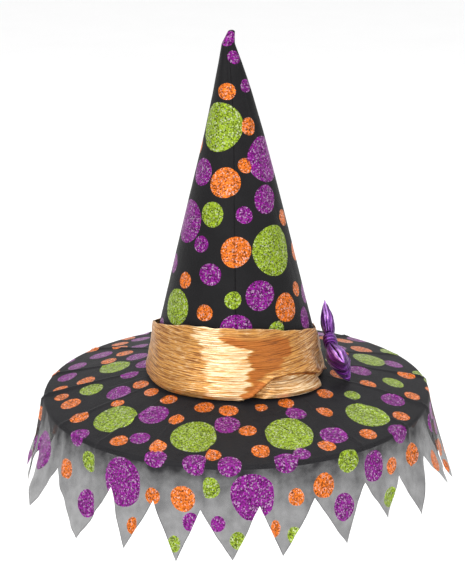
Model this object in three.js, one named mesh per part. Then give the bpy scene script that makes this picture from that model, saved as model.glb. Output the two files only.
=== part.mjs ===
// A tall witch hat, in millimetres, +Z up.
// The origin is the centre of the head opening, level with the foot of the cone.
// The front of the hat faces -Y, and the bow sits on the +X side.

import * as THREE from 'three';

// ---------------------------------------------------------------------------
// Driving dimensions
// ---------------------------------------------------------------------------

const headCircumference = 572;      // inside the sweatband
const coneHeight = 374;             // from the foot of the cone to its tip
const coneTipRadius = 3;            // the blunt point that the cone narrows to
const brimWidth = 115;              // from the cone to the brim's edge, seen from above
const brimDrop = 26;                // the edge hangs this far below the foot of the cone
const gap = 0.3;                    // clearance between pieces that touch

const sweatbandThickness = 0.8;
const sweatbandHeight = 30;
const liningThickness = 0.6;
const clothThickness = 0.8;
const coneStiffenerThickness = 1.2;
const brimStiffenerThickness = 2;
const stiffenerShort = 10;          // the cone stiffener stops this far below the tip
const liningShort = 40;             // and its lining this far below

// How the tip bends: [distance below the tip, sideways shift], straight in between.
const tipBend = [[110, 0], [66, -1.2], [34, -3], [14, -4.6], [0, -0.8]];

const wireRadius = 0.8;
const ferruleClearance = 0.3;       // between the wire and the bore of its joining tube
const ferruleWall = 0.5;
const ferruleLength = 10;
const wireEndGap = 2;               // between the wire's two ends, inside the tube
const wireEdgeClearance = 0.8;      // between the joining tube and the binding's web
const bindingThickness = 0.6;
const bindingWidth = 9;
const bindingChamfer = 1.2;

const netThickness = 0.6;
const netEdgeClearance = 1;         // between the binding and the hanging hem
const hemPointDrop = 101;           // from the brim's edge down to the hem's points
const hemValleyDrop = 41;           // and to the valleys between them
const hemDropVariation = 5;         // how unevenly the points were cut
const hemFrontFlare = 13;           // how far the points stand out at the front and back
const hemSideFlare = 28;            // and at the sides
const hemPointWidth = 56;           // a point's width round the brim's edge, where points are even

const bandThickness = 1.6;
const bandHeight = 51;              // top of the sash at the sides
const bandTilt = 24;                // it sits this much higher in front, and lower behind
const bandTopStandOff = 5.4;        // the sash stands off the cone by this much at its top
const bandFootStandOff = 4.2;       // and by this much at its foot

const bowCentreHeight = 33;         // the middle of the bow above the foot of the cone
const bowForward = 12;              // the bow is sewn on this far in front of the hat's side
const bowSeatClearance = 1.2;       // room for the sash's curve under the knot
const bowTilt = 56;                 // degrees that its loops turn away from upright
const bowSlope = 0.15;              // the bow leans outwards this much along its length, as the cone does
const lowerLoopLift = 7;            // the end of the lower loop stands out from the brim
const loopLength = 35;              // from the knot to the end of a loop
const loopWidth = 37;               // across a loop near its end
const upperLoopThickness = 9;       // the upper loop lies flat on the sash
const lowerLoopThickness = 20;      // the lower one is puffed out
const loopRootWidth = 20;           // where a loop is pinched beside the knot
const loopRootThickness = 9;
const knotLength = 16;              // along the bow
const knotWidth = 26;               // across it
const knotThickness = 17;

// Hem points across the front, each as the angle of the valley before it and of its tip,
// in degrees round from the front towards the bow. They are uneven, because they were cut by hand.
const frontHem = [
  [-75, -67], [-60, -49], [-37, -30], [-23, -17.5], [-10, -2],
  [6, 13], [21, 29], [37, 44], [51, 58], [64, 71],
];
const frontHemEnd = 79;

// ---------------------------------------------------------------------------
// Sizes that follow
// ---------------------------------------------------------------------------

const ringSegments = 48;            // every turned piece shares these, so that layers stay apart
const sweatbandInnerRadius = headCircumference / (2 * Math.PI);
const liningInnerRadius = sweatbandInnerRadius + sweatbandThickness + gap;
const stiffenerInnerRadius = liningInnerRadius + liningThickness + gap;
const coverInnerRadius = stiffenerInnerRadius + coneStiffenerThickness + gap;
const coneBaseRadius = coverInnerRadius + clothThickness;
const coneTaper = (coneBaseRadius - coneTipRadius) / coneHeight;

const brimStack = clothThickness + gap + brimStiffenerThickness + gap + liningThickness;
const brimInnerRadius = coneBaseRadius + gap;
const brimEdgeRadius = brimInnerRadius + brimWidth;
const brimSlope = brimDrop / brimWidth;

const ferruleBoreRadius = wireRadius + ferruleClearance;
const ferruleRadius = ferruleBoreRadius + ferruleWall;
const ferruleSides = 10;
const bindingWebRadius = brimEdgeRadius - bindingThickness;
const wireHoopRadius = bindingWebRadius - wireEdgeClearance - ferruleRadius;
const stackEdgeRadius = wireHoopRadius - ferruleRadius - gap;

const netLift = gap + bindingThickness + gap;
const bandFoot = netLift + netThickness + gap;

// The radius of a cone layer at a height, from its radius at the foot.
const coneRadius = (footRadius, z) => footRadius - coneTaper * Math.max(z, 0);

// The height of the brim's upper side at a radius.
const brimTop = (radius) => -brimSlope * (radius - brimInnerRadius);

// How far the cone's axis leans sideways at a height.
function coneLean(z) {
  const depth = coneHeight - z;
  for (let i = 1; i < tipBend.length; i += 1) {
    const [far, farShift] = tipBend[i - 1];
    const [near, nearShift] = tipBend[i];
    if (depth <= far && depth >= near) {
      return THREE.MathUtils.mapLinear(depth, far, near, farShift, nearShift);
    }
  }
  return 0;
}

// ---------------------------------------------------------------------------
// Shape helpers
// ---------------------------------------------------------------------------

// Turns a profile of [radius, height] points about Z. A ring's profile runs anticlockwise
// with the radius to the right and the height up; one that meets the axis runs up its outside.
function turned(profile) {
  const points = profile.map(([radius, z]) => new THREE.Vector2(radius, z));
  const geometry = new THREE.LatheGeometry(points, ringSegments);
  geometry.rotateX(Math.PI / 2);
  return geometry;
}

function turnedRing(profile) {
  return turned([...profile, profile[0]]);
}

// Moves each vertex of a cone layer sideways with the lean of the cone.
function leaned(geometry) {
  const position = geometry.getAttribute('position');
  for (let i = 0; i < position.count; i += 1) {
    position.setX(i, position.getX(i) + coneLean(position.getZ(i)));
  }
  geometry.computeVertexNormals();
  return geometry;
}

// A point on a circle about Z, at an angle in radians from the front towards +X.
function around(angle, radius, z) {
  return new THREE.Vector3(radius * Math.sin(angle), -radius * Math.cos(angle), z);
}

// Joins a loop of closed sections, each with the same number of points, into one closed surface.
function woven(sections) {
  const vertices = sections.flat().flatMap((point) => [point.x, point.y, point.z]);
  const across = sections[0].length;
  const faces = [];
  for (let i = 0; i < sections.length; i += 1) {
    const here = i * across;
    const next = ((i + 1) % sections.length) * across;
    for (let j = 0; j < across; j += 1) {
      const k = (j + 1) % across;
      faces.push(here + j, next + j, next + k, here + j, next + k, here + k);
    }
  }
  return facetted(vertices, faces);
}

// Joins open-ended sections into one closed solid, with a fan over each end.
function lofted(sections) {
  const across = sections[0].length;
  const vertices = sections.flat().flatMap((point) => [point.x, point.y, point.z]);
  const faces = [];
  for (let i = 0; i + 1 < sections.length; i += 1) {
    for (let j = 0; j < across; j += 1) {
      const k = (j + 1) % across;
      const here = i * across;
      const next = here + across;
      faces.push(here + j, next + j, next + k, here + j, next + k, here + k);
    }
  }
  const last = (sections.length - 1) * across;
  for (let j = 1; j + 1 < across; j += 1) {
    faces.push(0, j, j + 1);
    faces.push(last, last + j + 1, last + j);
  }
  return facetted(vertices, faces);
}

function facetted(vertices, faces) {
  const geometry = new THREE.BufferGeometry();
  geometry.setAttribute('position', new THREE.Float32BufferAttribute(vertices, 3));
  geometry.setIndex(faces);
  geometry.computeVertexNormals();
  return geometry;
}

// Heights up a cone layer: its foot, each bend of the tip that it reaches, and its top.
function coneRows(top) {
  const bends = tipBend.map(([depth]) => coneHeight - depth);
  return [0, ...bends.filter((z) => z < top - 1), top];
}

// ---------------------------------------------------------------------------
// The cone
// ---------------------------------------------------------------------------

function coneCover() {
  const shoulder = coneHeight - 3;
  const innerShoulder = shoulder - 2;
  const outer = coneRows(shoulder).map((z) => [coneRadius(coneBaseRadius, z), z]);
  const inner = coneRows(innerShoulder).map((z) => [coneRadius(coverInnerRadius, z), z]);
  return leaned(turned([
    [0, innerShoulder + 1],
    ...inner.reverse(),
    [coverInnerRadius, -brimStack],
    [coneBaseRadius, -brimStack],
    ...outer,
    [coneTipRadius * 0.8, coneHeight - 0.8],
    [0, coneHeight],
  ]));
}

function coneStiffener() {
  const top = coneHeight - stiffenerShort;
  const innerFoot = stiffenerInnerRadius;
  const outerFoot = stiffenerInnerRadius + coneStiffenerThickness;
  const outer = coneRows(top).map((z) => [coneRadius(outerFoot, z), z]);
  const inner = coneRows(top).map((z) => [coneRadius(innerFoot, z), z]);
  return leaned(turnedRing([
    ...inner.reverse(),
    [innerFoot, -brimStack],
    [outerFoot, -brimStack],
    ...outer,
  ]));
}

function coneLining() {
  const top = coneHeight - liningShort;
  const innerFoot = liningInnerRadius;
  const outerFoot = liningInnerRadius + liningThickness;
  const outer = coneRows(top).map((z) => [coneRadius(outerFoot, z), z]);
  const inner = coneRows(top - 2).map((z) => [coneRadius(innerFoot, z), z]);
  return leaned(turned([
    [0, top],
    ...inner.reverse(),
    [innerFoot, -brimStack],
    [outerFoot, -brimStack],
    ...outer,
    [0, top + 2],
  ]));
}

function sweatband() {
  const top = sweatbandHeight - brimStack;
  const outerFoot = sweatbandInnerRadius + sweatbandThickness;
  return turnedRing([
    [coneRadius(sweatbandInnerRadius, top), top],
    [sweatbandInnerRadius, 0],
    [sweatbandInnerRadius, -brimStack],
    [outerFoot, -brimStack],
    [outerFoot, 0],
    [coneRadius(outerFoot, top), top],
  ]);
}

// ---------------------------------------------------------------------------
// The brim
// ---------------------------------------------------------------------------

// A flat ring that follows the brim's slope, at a depth below its upper side.
function brimLayer(depth, thickness) {
  const top = (radius) => brimTop(radius) - depth;
  return turnedRing([
    [brimInnerRadius, top(brimInnerRadius)],
    [brimInnerRadius, top(brimInnerRadius) - thickness],
    [stackEdgeRadius, top(stackEdgeRadius) - thickness],
    [stackEdgeRadius, top(stackEdgeRadius)],
  ]);
}

// The tape round the edge, folded over both sides of the brim.
function edgeBinding() {
  const legRadius = brimEdgeRadius - bindingWidth;
  const over = (radius, height) => [radius, brimTop(radius) + height];
  const top = gap + bindingThickness;
  const bottom = -brimStack - gap - bindingThickness;
  return turnedRing([
    over(legRadius, top),
    over(legRadius, gap),
    over(bindingWebRadius, gap),
    over(bindingWebRadius, -brimStack - gap),
    over(legRadius, -brimStack - gap),
    over(legRadius, bottom),
    over(brimEdgeRadius - bindingChamfer, bottom),
    over(brimEdgeRadius, bottom + bindingChamfer),
    over(brimEdgeRadius, top - bindingChamfer),
    over(brimEdgeRadius - bindingChamfer, top),
  ]);
}

// An arc of the wire's hoop, from one angle to another, as a path for a round section.
class HoopArc extends THREE.Curve {
  constructor(start, end) {
    super();
    this.start = start;
    this.end = end;
    this.height = brimTop(wireHoopRadius) - brimStack / 2;
  }

  getPoint(t, target = new THREE.Vector3()) {
    const angle = this.start + t * (this.end - this.start);
    return target.copy(around(angle, wireHoopRadius, this.height));
  }
}

function disc(radius, sides) {
  const shape = new THREE.Shape();
  for (let i = 0; i < sides; i += 1) {
    const angle = (2 * Math.PI * i) / sides;
    shape[i === 0 ? 'moveTo' : 'lineTo'](radius * Math.cos(angle), radius * Math.sin(angle));
  }
  shape.closePath();
  return shape;
}

// The hoop opens at the back, where the joining tube covers its two ends.
function brimWire() {
  const halfOpening = wireEndGap / 2 / wireHoopRadius;
  const extrudePath = new HoopArc(halfOpening - Math.PI, Math.PI - halfOpening);
  return new THREE.ExtrudeGeometry(disc(wireRadius, 8), { steps: 144, extrudePath });
}

function wireFerrule() {
  const halfAngle = ferruleLength / 2 / wireHoopRadius;
  const extrudePath = new HoopArc(Math.PI - halfAngle, Math.PI + halfAngle);
  const section = disc(ferruleRadius, ferruleSides);
  // The bore's flats, not its corners, keep the clearance from the wire.
  section.holes.push(disc(ferruleBoreRadius / Math.cos(Math.PI / ferruleSides), ferruleSides));
  return new THREE.ExtrudeGeometry(section, { steps: 2, extrudePath });
}

// ---------------------------------------------------------------------------
// The net with its zig-zag hem
// ---------------------------------------------------------------------------

// Every valley and tip of the hem, as { angle, drop }, once round from the first valley in front.
function hemOutline() {
  const points = frontHem.map(([valley, tip]) => ({ valley, tip }));
  const rest = 360 - (frontHemEnd - frontHem[0][0]);
  const evenDegrees = THREE.MathUtils.radToDeg(hemPointWidth / brimEdgeRadius);
  const count = Math.round(rest / evenDegrees);
  for (let i = 0; i < count; i += 1) {
    const valley = frontHemEnd + (rest * i) / count;
    points.push({ valley, tip: valley + (0.5 * rest) / count });
  }
  return points.flatMap(({ valley, tip }, i) => [
    { angle: valley, drop: hemValleyDrop + 0.7 * hemDropVariation * Math.sin(4 * i) },
    { angle: tip, drop: hemPointDrop + hemDropVariation * Math.sin(7 * i + 1) },
  ]);
}

// The hem's columns: every valley and tip, and the middle of each slanting cut.
function hemColumns() {
  const outline = hemOutline();
  return outline.flatMap((here, i) => {
    const next = outline[(i + 1) % outline.length];
    const nextAngle = next.angle > here.angle ? next.angle : next.angle + 360;
    const middle = { angle: (here.angle + nextAngle) / 2, drop: (here.drop + next.drop) / 2 };
    return [here, middle];
  });
}

function netOverlay() {
  const innerRadius = brimInnerRadius + 1;
  const edgeRadius = brimEdgeRadius + netEdgeClearance;
  const edgeTop = brimTop(brimEdgeRadius);
  const sections = hemColumns().map(({ angle, drop }) => {
    const turn = THREE.MathUtils.degToRad(angle);
    const side = Math.sin(turn) ** 4;
    const flare = hemFrontFlare + (hemSideFlare - hemFrontFlare) * side;
    const hang = (share) => edgeRadius + flare * (share * drop / hemPointDrop) ** 1.2;
    const at = (radius, z) => around(turn, radius, z);
    return [
      at(innerRadius, brimTop(innerRadius) + netLift),
      at(brimEdgeRadius, edgeTop + netLift),
      at(edgeRadius, edgeTop - 1),
      at(hang(0.5), edgeTop - 0.5 * drop),
      at(hang(1), edgeTop - drop),
      at(hang(1) + netThickness, edgeTop - drop),
      at(hang(0.5) + netThickness, edgeTop - 0.5 * drop),
      at(edgeRadius + netThickness, edgeTop - 1),
      at(brimEdgeRadius + 0.5 * netThickness, edgeTop + netLift + netThickness),
      at(innerRadius, brimTop(innerRadius) + netLift + netThickness),
    ];
  });
  return woven(sections);
}

// ---------------------------------------------------------------------------
// The sash and the bow
// ---------------------------------------------------------------------------

// The outside of the sash at an angle from the front, at a share of its height.
function bandOutside(angle, share) {
  const z = bandFoot + share * (bandHeight + bandTilt * Math.cos(angle) - bandFoot);
  const standOff = THREE.MathUtils.lerp(bandFootStandOff, bandTopStandOff, share);
  return { radius: coneRadius(coneBaseRadius, z) + standOff + bandThickness, z };
}

function hatband() {
  const rows = 5;
  const sections = [];
  for (let i = 0; i < ringSegments; i += 1) {
    const angle = (2 * Math.PI * i) / ringSegments;
    const inner = [];
    const outer = [];
    for (let j = 0; j < rows; j += 1) {
      const { radius, z } = bandOutside(angle, j / (rows - 1));
      outer.push(around(angle, radius, z));
      inner.push(around(angle, radius - bandThickness, z));
    }
    sections.push([...inner.reverse(), ...outer]);
  }
  return woven(sections);
}

// The middle of the knot, resting on the sash.
function bowCentre() {
  const share = (bowCentreHeight - bandFoot) / (bandHeight - bandFoot);
  const seat = bandOutside(Math.PI / 2, share).radius + bowSeatClearance;
  const sideways = Math.sqrt(seat * seat - bowForward * bowForward);
  return new THREE.Vector3(sideways + knotThickness / 2, -bowForward, bowCentreHeight);
}

// The bow's own directions: along it to the lower loop, out of the hat, and across it.
function bowDirections() {
  const tilt = THREE.MathUtils.degToRad(bowTilt);
  const along = new THREE.Vector3(bowSlope, -Math.sin(tilt), -Math.cos(tilt)).normalize();
  const across = new THREE.Vector3(1, 0, coneTaper).cross(along).normalize();
  const out = along.clone().cross(across).normalize();
  return { along, across, out };
}

// An oval across the bow at a distance along it from the knot's middle, moved out by a lift.
function bowSection(distance, width, thickness, lift = 0) {
  const { along, across, out } = bowDirections();
  const points = [];
  const sides = 12;
  for (let i = 0; i < sides; i += 1) {
    const angle = (2 * Math.PI * i) / sides;
    points.push(bowCentre()
      .addScaledVector(along, distance)
      .addScaledVector(across, 0.5 * width * Math.sin(angle))
      .addScaledVector(out, lift + 0.5 * thickness * Math.cos(angle)));
  }
  return points;
}

function bowKnot() {
  const ends = [-1, -0.6, 0.6, 1];
  return lofted(ends.map((share) => {
    const swell = Math.abs(share) === 1 ? 0.8 : 1;
    return bowSection(share * knotLength / 2, knotWidth * swell, knotThickness * swell);
  }));
}

// A loop swells from the pinch beside the knot to its full width, then rounds off.
// The side is 1 for the lower loop and -1 for the upper one.
function bowLoop(side, fullThickness, endLift) {
  const shares = [0, 0.12, 0.3, 0.55, 0.8, 0.95, 1];
  const start = knotLength / 2 + gap;
  const sections = shares.map((share) => {
    const growth = Math.sin(0.5 * Math.PI * Math.min(share / 0.8, 1));
    const closing = share > 0.8 ? Math.sqrt(1 - ((share - 0.8) / 0.25) ** 2) : 1;
    const width = THREE.MathUtils.lerp(loopRootWidth, loopWidth, growth) * (0.35 + 0.65 * closing);
    const thickness = THREE.MathUtils.lerp(loopRootThickness, fullThickness, growth) * closing;
    return bowSection(side * (start + share * loopLength), width, thickness, endLift * share);
  });
  return lofted(side < 0 ? sections.reverse() : sections);
}

// ---------------------------------------------------------------------------
// Finishes and the assembly
// ---------------------------------------------------------------------------

const finish = (color, roughness, metalness = 0) => (
  new THREE.MeshStandardMaterial({ color, roughness, metalness })
);

const hat = new THREE.Group();
hat.name = 'witch_hat';

function add(name, geometry, material) {
  const mesh = new THREE.Mesh(geometry, material);
  mesh.name = name;
  hat.add(mesh);
}

const stiffenerDepth = clothThickness + gap;
const brimLiningDepth = stiffenerDepth + brimStiffenerThickness + gap;

add('cone_cover', coneCover(), finish(0x1c1a1d, 0.75));
add('cone_stiffener', coneStiffener(), finish(0x2a282b, 0.95));
add('cone_lining', coneLining(), finish(0x202022, 0.85));
add('sweatband', sweatband(), finish(0x111113, 0.7));
add('brim_cover', brimLayer(0, clothThickness), finish(0x1c1a1d, 0.75));
add('brim_stiffener', brimLayer(stiffenerDepth, brimStiffenerThickness), finish(0x2a282b, 0.95));
add('brim_lining', brimLayer(brimLiningDepth, liningThickness), finish(0x202022, 0.85));
add('brim_wire', brimWire(), finish(0xa9adb3, 0.35, 1));
add('wire_ferrule', wireFerrule(), finish(0xb08d4a, 0.35, 1));
add('edge_binding', edgeBinding(), finish(0x151416, 0.6));
add('net_overlay', netOverlay(), finish(0x2c2a2e, 0.8));
add('hatband', hatband(), finish(0xc9762a, 0.35, 0.6));
add('bow_upper_loop', bowLoop(-1, upperLoopThickness, 0), finish(0x6d1f86, 0.3, 0.7));
add('bow_lower_loop', bowLoop(1, lowerLoopThickness, lowerLoopLift), finish(0x6d1f86, 0.3, 0.7));
add('bow_knot', bowKnot(), finish(0x6d1f86, 0.3, 0.7));

export default hat;
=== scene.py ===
"""A tall dotted witch hat: cloth cone, wired brim, sheer net with a zig-zag hem, crinkled sash and bow."""

import math

import bpy
import numpy as np
from mathutils import Matrix, Vector


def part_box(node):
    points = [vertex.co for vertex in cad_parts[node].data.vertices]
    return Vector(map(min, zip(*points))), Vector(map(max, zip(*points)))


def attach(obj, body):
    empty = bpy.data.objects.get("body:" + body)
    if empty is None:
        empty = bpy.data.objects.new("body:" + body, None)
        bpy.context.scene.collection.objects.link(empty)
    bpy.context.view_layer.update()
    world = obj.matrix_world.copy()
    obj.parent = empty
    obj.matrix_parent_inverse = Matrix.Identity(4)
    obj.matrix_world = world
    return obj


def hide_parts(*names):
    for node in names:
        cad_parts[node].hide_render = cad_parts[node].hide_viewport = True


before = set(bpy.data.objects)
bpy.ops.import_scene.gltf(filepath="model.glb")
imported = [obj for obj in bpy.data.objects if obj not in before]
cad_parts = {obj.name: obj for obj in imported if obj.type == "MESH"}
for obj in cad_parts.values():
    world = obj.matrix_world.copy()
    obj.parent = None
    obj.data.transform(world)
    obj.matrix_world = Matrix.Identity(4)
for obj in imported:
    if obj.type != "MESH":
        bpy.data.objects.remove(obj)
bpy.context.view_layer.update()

bl_info = {
    "name": "Dotted Witch Hat",
    "version": (1, 0, 0),
    "blender": (4, 5, 0),
    "location": "View3D > Sidebar > Hat",
    "description": "Makes a tall witch hat with a dotted net, a crinkled sash and a side bow",
    "category": "Add Mesh",
}

MM = 0.001

# ---------------------------------------------------------------------------
# Sizes read from the frame, in millimetres
# ---------------------------------------------------------------------------


def node_box(node):
    low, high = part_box(node)
    return np.array(low) / MM, np.array(high) / MM


CONE_LOW, CONE_HIGH = node_box("cone_cover")
BRIM_HIGH = node_box("brim_cover")[1]
BINDING_HIGH = node_box("edge_binding")[1]
BAND_HIGH = node_box("hatband")[1]
SWEAT_LOW, SWEAT_HIGH = node_box("sweatband")
KNOT_LOW, KNOT_HIGH = node_box("bow_knot")
LINING_LOW, LINING_HIGH = node_box("cone_lining")

CONE_FOOT = (CONE_HIGH[1] - CONE_LOW[1]) / 2
CONE_TOP = CONE_HIGH[2]
SEAM_DEPTH = -CONE_LOW[2]
TIP_RADIUS = 3.0
TAPER = (CONE_FOOT - TIP_RADIUS) / CONE_TOP
GAP = 0.3
BRIM_INNER = CONE_FOOT + GAP
BRIM_EDGE = BINDING_HIGH[0]
BRIM_DROP = 26.0
BRIM_SLOPE = BRIM_DROP / (BRIM_EDGE - BRIM_INNER)
BRIM_STACK = SEAM_DEPTH
NET_LIFT = 1.2

# The hem's points across the front: the angle of the valley before each and of its tip, in
# degrees round from the front towards the bow, then how far the valley and the tip hang below
# the brim's edge, and how far to the side the tip is pulled, in millimetres.
FRONT_HEM = (
    (-75, -67, 46, 98, -4), (-60, -49, 44, 106, 5), (-37, -30, 38, 97, -3), (-23, -18, 41, 103, 6),
    (-10, -2, 46, 99, 2), (6, 13, 42, 95, -5), (21, 29, 38, 96, 4), (37, 44, 36, 88, 8),
    (51, 58, 44, 92, -8), (64, 71, 40, 84, 6),
)
FRONT_HEM_END = 79
EVEN_POINT_WIDTH = 56

# Dots that are seen from the front, as (colour, degrees round from the front, place, radius).
# The place is the height up the cone, the radius on the brim, or how far down the hem hangs.
CONE_DOTS = (
    ("P", 30, 347, 7), ("P", -20, 366, 8), ("O", -16, 313, 9), ("P", 55, 317, 7), ("G", -31, 277, 25),
    ("O", 35, 277, 9), ("P", 60, 240, 24), ("O", 19, 238, 8), ("P", -58, 228, 15), ("O", -13, 221, 16),
    ("P", 45, 201, 15), ("G", -28, 188, 13), ("P", 12, 188, 9), ("O", 75, 175, 9), ("P", -69, 174, 24),
    ("P", -38, 156, 9), ("O", 1, 151, 16), ("G", 43, 148, 26), ("O", 86, 134, 10), ("P", -82, 124, 11),
    ("P", -24, 127, 12), ("O", -52, 115, 9), ("P", 22, 105, 16), ("G", -2, 102, 9), ("O", 46, 87, 15),
    ("O", 66, 100, 8), ("G", -58, 85, 20), ("O", -26, 87, 9), ("P", 0, 71, 17), ("G", 33, 66, 10),
    ("P", 70, 66, 12),
)
BRIM_DOTS = (
    ("P", -142, 181, 11), ("O", -129, 172, 10), ("P", -119, 176, 13), ("O", -110, 152, 9),
    ("G", -100, 137, 18), ("P", -109, 189, 11), ("P", -98, 190, 11), ("P", -84, 117, 10),
    ("O", -90, 165, 10), ("G", -79, 160, 13), ("O", -67, 112, 9), ("P", -67, 137, 14), ("O", -54, 112, 8),
    ("O", -73, 186, 11), ("O", -58, 148, 7), ("O", -39, 113, 9), ("O", -61, 190, 11), ("G", -49, 168, 24),
    ("P", -37, 143, 16), ("O", -26, 143, 9), ("O", -38, 195, 9), ("P", -33, 183, 10), ("O", -25, 190, 10),
    ("G", -15, 167, 25), ("P", -4, 143, 14), ("O", -7, 195, 9), ("O", -17, 115, 10), ("O", -4, 118, 10),
    ("P", 136, 206, 12), ("O", 123, 171, 13), ("G", 109, 158, 19), ("P", 107, 185, 11), ("P", 91, 136, 13),
    ("O", 96, 190, 10), ("O", 78, 146, 9), ("G", 86, 172, 12), ("O", 79, 194, 9), ("G", 62, 140, 9),
    ("P", 70, 178, 13), ("G", 53, 172, 23), ("O", 62, 197, 9), ("O", 40, 144, 9), ("O", 52, 119, 9),
    ("G", 19, 166, 26), ("O", 4, 154, 9), ("P", 33, 182, 14), ("O", 28, 195, 9), ("O", 44, 196, 9),
    ("O", 7, 189, 10), ("P", 19, 200, 9), ("O", 27, 114, 9), ("O", 13, 115, 7), ("P", 27, 135, 11),
)
HEM_DOTS = (
    ("P", -23, -4, 11), ("P", -12, -3, 13), ("P", -2, -2, 12), ("P", 14, -3, 12), ("P", -52, -2, 11),
    ("P", 53, 0, 12), ("P", -71, 39, 21), ("O", -55, 38, 11), ("G", -46, 19, 11), ("P", -33, 29, 25),
    ("P", -46, 65, 15), ("O", -29, 71, 9), ("O", -23, 36, 9), ("O", -15, 36, 14), ("G", -7, 22, 11),
    ("G", -17, 85, 9), ("P", -13, 60, 10), ("P", -5, 60, 9), ("G", 0, 78, 10), ("P", 4, 32, 25),
    ("O", 16, 35, 9), ("O", 10, 66, 9), ("G", 15, 74, 9), ("O", 24, 28, 14), ("G", 32, 9, 12),
    ("P", 30, 56, 15), ("P", 41, 22, 16), ("O", 48, 30, 9), ("O", 58, 30, 13), ("G", 47, 64, 12),
    ("P", 75, 18, 11), ("O", 70, 55, 11),
)
DOT_RADII = {"P": (10, 21), "O": (8, 14), "G": (9, 24)}
DOT_ODDS = "PPOOOGG"

# Folds of the loose net on the brim: (degrees from the front, millimetres of net each takes up).
NET_FOLDS = (
    (-128, 9), (-104, 7), (-86, 10), (-62, 6), (-43, 9), (-27, 6), (-9, 5), (10, 7), (25, 5), (37, 8),
    (57, 7), (74, 9), (97, 8), (118, 6), (141, 8), (163, 6), (186, 8), (209, 7),
)


def brim_top(radius):
    return -BRIM_SLOPE * (radius - BRIM_INNER)


def cone_radius(foot, z):
    return foot - TAPER * np.maximum(z, 0)


def cone_lean(z):
    depth = CONE_TOP - z
    return np.interp(depth, (0, 14, 34, 66, 110), (-0.8, -4.6, -3.0, -1.2, 0))


def smooth(low, high, value):
    t = np.clip((value - low) / (high - low), 0, 1)
    return t * t * (3 - 2 * t)


def wave(value, seed, octaves=3):
    """A smooth wandering value between about -1 and 1, the same on every run."""
    picker = np.random.default_rng(seed)
    total = np.zeros_like(np.asarray(value, dtype=float))
    for octave in range(octaves):
        rate = (octave + 1) * picker.uniform(0.7, 1.3)
        total += np.sin(rate * value + picker.uniform(0, 6.28)) / (octave + 1)
    return total / 1.6


# ---------------------------------------------------------------------------
# Mesh helpers
# ---------------------------------------------------------------------------


def grid_faces(rows, columns, wrap_rows=False, wrap_columns=False):
    """Quads over a grid of points, listed row by row, that may close on itself either way."""
    row_count = rows if wrap_rows else rows - 1
    column_count = columns if wrap_columns else columns - 1
    i, j = np.meshgrid(np.arange(row_count), np.arange(column_count), indexing="ij")
    i, j = i.ravel(), j.ravel()
    k, m = (i + 1) % rows, (j + 1) % columns
    return np.stack([i * columns + j, i * columns + m, k * columns + m, k * columns + j], axis=1)


def mesh_piece(name, points, faces, material):
    """A finished object at the origin from points in millimetres."""
    mesh = bpy.data.meshes.new(name)
    mesh.from_pydata((np.asarray(points, dtype=float).reshape(-1, 3) * MM).tolist(), [], faces.tolist())
    mesh.validate()
    mesh.shade_smooth()
    piece = bpy.data.objects.new(name, mesh)
    bpy.context.scene.collection.objects.link(piece)
    mesh.materials.append(material)
    return piece


def point_up(piece, outward):
    """Turns the faces over if they don't look the way that outward says."""
    mesh = piece.data
    score = sum(face.normal.dot(outward(face.center)) for face in mesh.polygons)
    if score < 0:
        mesh.flip_normals()


def thicken(piece, thickness, offset=-1.0):
    wall = piece.modifiers.new("Wall", "SOLIDIFY")
    wall.thickness = thickness * MM
    wall.offset = offset
    wall.use_even_offset = False


def ring_points(profile, angles):
    """A profile of (radius, height) turned about Z, one row for each profile point."""
    profile = np.asarray(profile, dtype=float)
    radius, height = profile[:, 0:1], profile[:, 1:2]
    x = radius * np.sin(angles)[None, :]
    y = -radius * np.cos(angles)[None, :]
    z = np.repeat(height, len(angles), axis=1)
    return np.stack([x, y, z], axis=-1)


def turned_piece(name, profile, material, segments=240, closed=True, shape=None):
    angles = np.linspace(0, 2 * np.pi, segments, endpoint=False)
    points = ring_points(profile, angles)
    if shape is not None:
        points = shape(points, angles)
    faces = grid_faces(len(profile), segments, wrap_rows=closed, wrap_columns=True)
    piece = mesh_piece(name, points, faces, material)
    if closed:
        middle = np.mean(np.asarray(profile), axis=0) * MM
        point_up(piece, lambda c: Vector((
            c.x * (1 - middle[0] / max(math.hypot(c.x, c.y), 1e-6)),
            c.y * (1 - middle[0] / max(math.hypot(c.x, c.y), 1e-6)),
            c.z - middle[1],
        )))
    return piece


# ---------------------------------------------------------------------------
# Dots
# ---------------------------------------------------------------------------

DOT_COLOURS = {"P": (0.185, 0.008, 0.185), "O": (0.60, 0.135, 0.012), "G": (0.21, 0.30, 0.016)}


def scattered_dots(chosen, candidates, spacing, seed):
    """Adds dots at candidate places, as far as each keeps clear of every dot before it."""
    picker = np.random.default_rng(seed)
    dots = list(chosen)
    for place in candidates:
        colour = DOT_ODDS[picker.integers(len(DOT_ODDS))]
        low, high = DOT_RADII[colour]
        radius = low + (high - low) * picker.random() ** 1.8
        clear = all(
            math.hypot(place[0] - x, place[1] - y) > radius + other + spacing for _, x, y, other in dots
        )
        if clear:
            dots.append((colour, place[0], place[1], radius))
    return dots


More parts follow.
